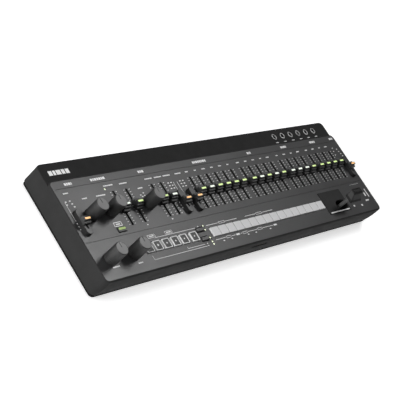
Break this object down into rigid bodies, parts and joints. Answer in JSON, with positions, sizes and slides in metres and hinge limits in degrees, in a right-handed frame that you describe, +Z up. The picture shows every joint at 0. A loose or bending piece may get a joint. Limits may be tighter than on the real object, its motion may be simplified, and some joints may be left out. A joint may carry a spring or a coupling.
{
  "type": "fader synthesiser module",
  "caption": "Long low desktop synthesiser control desk with faders, knobs, step pads, a joystick and small jack sockets.",
  "frame": {"origin": "middle of the footprint, on the surface the feet stand on", "axes": "+X to the right along the length, +Y to the back, +Z up"},
  "size_m": [0.43, 0.1144, 0.0512],
  "materials": {
    "case_plastic": "satin",
    "base_black": "matte",
    "panel_paint": "satin",
    "foot_rubber": "matte",
    "screw_steel": "satin",
    "board_green": "satin",
    "pot_steel": "satin",
    "switch_black": "matte",
    "jack_black": "gloss",
    "socket_steel": "satin",
    "contact_black": "matte",
    "contact_gold": "polished",
    "plate_black": "satin",
    "cap_black": "satin",
    "knob_black": "satin",
    "knob_disc_grey": "satin",
    "button_black": "satin",
    "pad_grey": "satin",
    "print_white": "matte",
    "stick_black": "satin",
    "line_lit": "satin",
    "line_amber": "satin",
    "button_green": "satin",
    "lamp_lit": "gloss"
  },
  "bodies": {
    "case": {"bottom_case": "base_black", "top_case": "case_plastic", "control_panel": "panel_paint", "circuit_board": "board_green", "fader_potentiometers": "pot_steel", "selector_switches": "switch_black", "rotary_potentiometers": "pot_steel", "jack_sockets": "jack_black", "usb_socket": "socket_steel", "contact_connector": "contact_black", "case_screws": "screw_steel", "joystick_housing": "plate_black", "rubber_feet": "foot_rubber"},
    "fader_01": {"fader_01": "cap_black"},
    "fader_02": {"fader_02": "cap_black"},
    "fader_03": {"fader_03": "cap_black"},
    "fader_04": {"fader_04": "cap_black"},
    "fader_05": {"fader_05": "cap_black"},
    "fader_06": {"fader_06": "cap_black"},
    "fader_07": {"fader_07": "cap_black"},
    "fader_08": {"fader_08": "cap_black"},
    "fader_09": {"fader_09": "cap_black"},
    "fader_10": {"fader_10": "cap_black"},
    "fader_11": {"fader_11": "cap_black"},
    "fader_12": {"fader_12": "cap_black"},
    "fader_13": {"fader_13": "cap_black"},
    "fader_14": {"fader_14": "cap_black"},
    "fader_15": {"fader_15": "cap_black"},
    "fader_16": {"fader_16": "cap_black"},
    "fader_17": {"fader_17": "cap_black"},
    "fader_18": {"fader_18": "cap_black"},
    "fader_19": {"fader_19": "cap_black"},
    "fader_20": {"fader_20": "cap_black"},
    "fader_21": {"fader_21": "cap_black"},
    "fader_22": {"fader_22": "cap_black"},
    "fader_23": {"fader_23": "cap_black"},
    "selector_1": {"selector_1": "cap_black"},
    "selector_2": {"selector_2": "cap_black"},
    "selector_3": {"selector_3": "cap_black"},
    "selector_4": {"selector_4": "cap_black"},
    "knob_1": {"knob_1": "knob_black"},
    "knob_2": {"knob_2": "knob_black"},
    "knob_3": {"knob_3": "knob_black"},
    "knob_4": {"knob_4": "knob_black"},
    "knob_5": {"knob_5": "knob_black"},
    "square_button_1": {"square_button_1": "button_black"},
    "square_button_2": {"square_button_2": "button_black"},
    "square_button_3": {"square_button_3": "button_black"},
    "square_button_4": {"square_button_4": "button_black"},
    "square_button_5": {"square_button_5": "button_black"},
    "square_button_6": {"square_button_6": "button_black"},
    "wide_button_1": {"wide_button_1": "button_green"},
    "wide_button_2": {"wide_button_2": "panel_paint"},
    "wide_button_3": {"wide_button_3": "panel_paint"},
    "pad_bank_1": {"pad_bank_1": "pad_grey"},
    "pad_bank_2": {"pad_bank_2": "pad_grey"},
    "pad_bank_3": {"pad_bank_3": "pad_grey"},
    "pad_bank_4": {"pad_bank_4": "pad_grey"},
    "joystick_gimbal": {"joystick_gimbal": "switch_black"},
    "joystick_lever": {"joystick_lever": "stick_black"}
  },
  "joints": [
    {"name": "fader_01_slide", "type": "slide", "parent": "case", "child": "fader_01", "axis": [0, 1, 0], "range_m": [-0.015, 0.015]},
    {"name": "fader_02_slide", "type": "slide", "parent": "case", "child": "fader_02", "axis": [0, 1, 0], "range_m": [-0.015, 0.015]},
    {"name": "fader_03_slide", "type": "slide", "parent": "case", "child": "fader_03", "axis": [0, 1, 0], "range_m": [-0.015, 0.015]},
    {"name": "fader_04_slide", "type": "slide", "parent": "case", "child": "fader_04", "axis": [0, 1, 0], "range_m": [-0.015, 0.015]},
    {"name": "fader_05_slide", "type": "slide", "parent": "case", "child": "fader_05", "axis": [0, 1, 0], "range_m": [-0.015, 0.015]},
    {"name": "fader_06_slide", "type": "slide", "parent": "case", "child": "fader_06", "axis": [0, 1, 0], "range_m": [-0.015, 0.015]},
    {"name": "fader_07_slide", "type": "slide", "parent": "case", "child": "fader_07", "axis": [0, 1, 0], "range_m": [-0.015, 0.015]},
    {"name": "fader_08_slide", "type": "slide", "parent": "case", "child": "fader_08", "axis": [0, 1, 0], "range_m": [-0.015, 0.015]},
    {"name": "fader_09_slide", "type": "slide", "parent": "case", "child": "fader_09", "axis": [0, 1, 0], "range_m": [-0.015, 0.015]},
    {"name": "fader_10_slide", "type": "slide", "parent": "case", "child": "fader_10", "axis": [0, 1, 0], "range_m": [-0.015, 0.015]},
    {"name": "fader_11_slide", "type": "slide", "parent": "case", "child": "fader_11", "axis": [0, 1, 0], "range_m": [-0.015, 0.015]},
    {"name": "fader_12_slide", "type": "slide", "parent": "case", "child": "fader_12", "axis": [0, 1, 0], "range_m": [-0.015, 0.015]},
    {"name": "fader_13_slide", "type": "slide", "parent": "case", "child": "fader_13", "axis": [0, 1, 0], "range_m": [-0.015, 0.015]},
    {"name": "fader_14_slide", "type": "slide", "parent": "case", "child": "fader_14", "axis": [0, 1, 0], "range_m": [-0.015, 0.015]},
    {"name": "fader_15_slide", "type": "slide", "parent": "case", "child": "fader_15", "axis": [0, 1, 0], "range_m": [-0.015, 0.015]},
    {"name": "fader_16_slide", "type": "slide", "parent": "case", "child": "fader_16", "axis": [0, 1, 0], "range_m": [-0.015, 0.015]},
    {"name": "fader_17_slide", "type": "slide", "parent": "case", "child": "fader_17", "axis": [0, 1, 0], "range_m": [-0.015, 0.015]},
    {"name": "fader_18_slide", "type": "slide", "parent": "case", "child": "fader_18", "axis": [0, 1, 0], "range_m": [-0.015, 0.015]},
    {"name": "fader_19_slide", "type": "slide", "parent": "case", "child": "fader_19", "axis": [0, 1, 0], "range_m": [-0.015, 0.015]},
    {"name": "fader_20_slide", "type": "slide", "parent": "case", "child": "fader_20", "axis": [0, 1, 0], "range_m": [-0.015, 0.015]},
    {"name": "fader_21_slide", "type": "slide", "parent": "case", "child": "fader_21", "axis": [0, 1, 0], "range_m": [-0.015, 0.015]},
    {"name": "fader_22_slide", "type": "slide", "parent": "case", "child": "fader_22", "axis": [0, 1, 0], "range_m": [-0.015, 0.015]},
    {"name": "fader_23_slide", "type": "slide", "parent": "case", "child": "fader_23", "axis": [0, 1, 0], "range_m": [-0.015, 0.015]},
    {"name": "selector_1_slide", "type": "slide", "parent": "case", "child": "selector_1", "axis": [0, 1, 0], "range_m": [-0.0058, 0]},
    {"name": "selector_2_slide", "type": "slide", "parent": "case", "child": "selector_2", "axis": [0, 1, 0], "range_m": [-0.0058, 0]},
    {"name": "selector_3_slide", "type": "slide", "parent": "case", "child": "selector_3", "axis": [0, 1, 0], "range_m": [-0.0058, 0]},
    {"name": "selector_4_slide", "type": "slide", "parent": "case", "child": "selector_4", "axis": [0, 1, 0], "range_m": [-0.0058, 0]},
    {"name": "knob_1_turn", "type": "hinge", "parent": "case", "child": "knob_1", "pos_m": [-0.1906, 0.0034, 0.0266], "axis": [0, 0, 1], "range_deg": [-150, 150]},
    {"name": "knob_2_turn", "type": "hinge", "parent": "case", "child": "knob_2", "pos_m": [-0.1684, 0.0034, 0.0266], "axis": [0, 0, 1], "range_deg": [-150, 150]},
    {"name": "knob_3_turn", "type": "hinge", "parent": "case", "child": "knob_3", "pos_m": [-0.1196, 0.0034, 0.0266], "axis": [0, 0, 1], "range_deg": [-150, 150]},
    {"name": "knob_4_turn", "type": "hinge", "parent": "case", "child": "knob_4", "pos_m": [-0.1984, -0.0374, 0.0266], "axis": [0, 0, 1], "range_deg": [-150, 150]},
    {"name": "knob_5_turn", "type": "hinge", "parent": "case", "child": "knob_5", "pos_m": [-0.1703, -0.0374, 0.0266], "axis": [0, 0, 1], "range_deg": [-150, 150]},
    {"name": "square_button_1_press", "type": "slide", "parent": "case", "child": "square_button_1", "axis": [0, 0, -1], "range_m": [0, 0.001], "stiffness_N_per_m": 400, "springref_m": -0.0005},
    {"name": "square_button_2_press", "type": "slide", "parent": "case", "child": "square_button_2", "axis": [0, 0, -1], "range_m": [0, 0.001], "stiffness_N_per_m": 400, "springref_m": -0.0005},
    {"name": "square_button_3_press", "type": "slide", "parent": "case", "child": "square_button_3", "axis": [0, 0, -1], "range_m": [0, 0.001], "stiffness_N_per_m": 400, "springref_m": -0.0005},
    {"name": "square_button_4_press", "type": "slide", "parent": "case", "child": "square_button_4", "axis": [0, 0, -1], "range_m": [0, 0.001], "stiffness_N_per_m": 400, "springref_m": -0.0005},
    {"name": "square_button_5_press", "type": "slide", "parent": "case", "child": "square_button_5", "axis": [0, 0, -1], "range_m": [0, 0.001], "stiffness_N_per_m": 400, "springref_m": -0.0005},
    {"name": "square_button_6_press", "type": "slide", "parent": "case", "child": "square_button_6", "axis": [0, 0, -1], "range_m": [0, 0.001], "stiffness_N_per_m": 400, "springref_m": -0.0005},
    {"name": "wide_button_1_press", "type": "slide", "parent": "case", "child": "wide_button_1", "axis": [0, 0, -1], "range_m": [0, 0.001], "stiffness_N_per_m": 400, "springref_m": -0.0005},
    {"name": "wide_button_2_press", "type": "slide", "parent": "case", "child": "wide_button_2", "axis": [0, 0, -1], "range_m": [0, 0.001], "stiffness_N_per_m": 400, "springref_m": -0.0005},
    {"name": "wide_button_3_press", "type": "slide", "parent": "case", "child": "wide_button_3", "axis": [0, 0, -1], "range_m": [0, 0.001], "stiffness_N_per_m": 400, "springref_m": -0.0005},
    {"name": "pad_bank_1_press", "type": "slide", "parent": "case", "child": "pad_bank_1", "axis": [0, 0, -1], "range_m": [0, 0.001], "stiffness_N_per_m": 900, "springref_m": -0.0005},
    {"name": "pad_bank_2_press", "type": "slide", "parent": "case", "child": "pad_bank_2", "axis": [0, 0, -1], "range_m": [0, 0.001], "stiffness_N_per_m": 900, "springref_m": -0.0005},
    {"name": "pad_bank_3_press", "type": "slide", "parent": "case", "child": "pad_bank_3", "axis": [0, 0, -1], "range_m": [0, 0.001], "stiffness_N_per_m": 900, "springref_m": -0.0005},
    {"name": "pad_bank_4_press", "type": "slide", "parent": "case", "child": "pad_bank_4", "axis": [0, 0, -1], "range_m": [0, 0.001], "stiffness_N_per_m": 900, "springref_m": -0.0005},
    {"name": "joystick_left_right", "type": "hinge", "parent": "case", "child": "joystick_gimbal", "pos_m": [0.1502, -0.0406, 0.0166], "axis": [0, 1, 0], "range_deg": [-20, 20], "stiffness_Nm_per_rad": 0.02},
    {"name": "joystick_forward_back", "type": "hinge", "parent": "joystick_gimbal", "child": "joystick_lever", "pos_m": [0.1502, -0.0406, 0.0166], "axis": [1, 0, 0], "range_deg": [-10, 10], "stiffness_Nm_per_rad": 0.02}
  ]
}
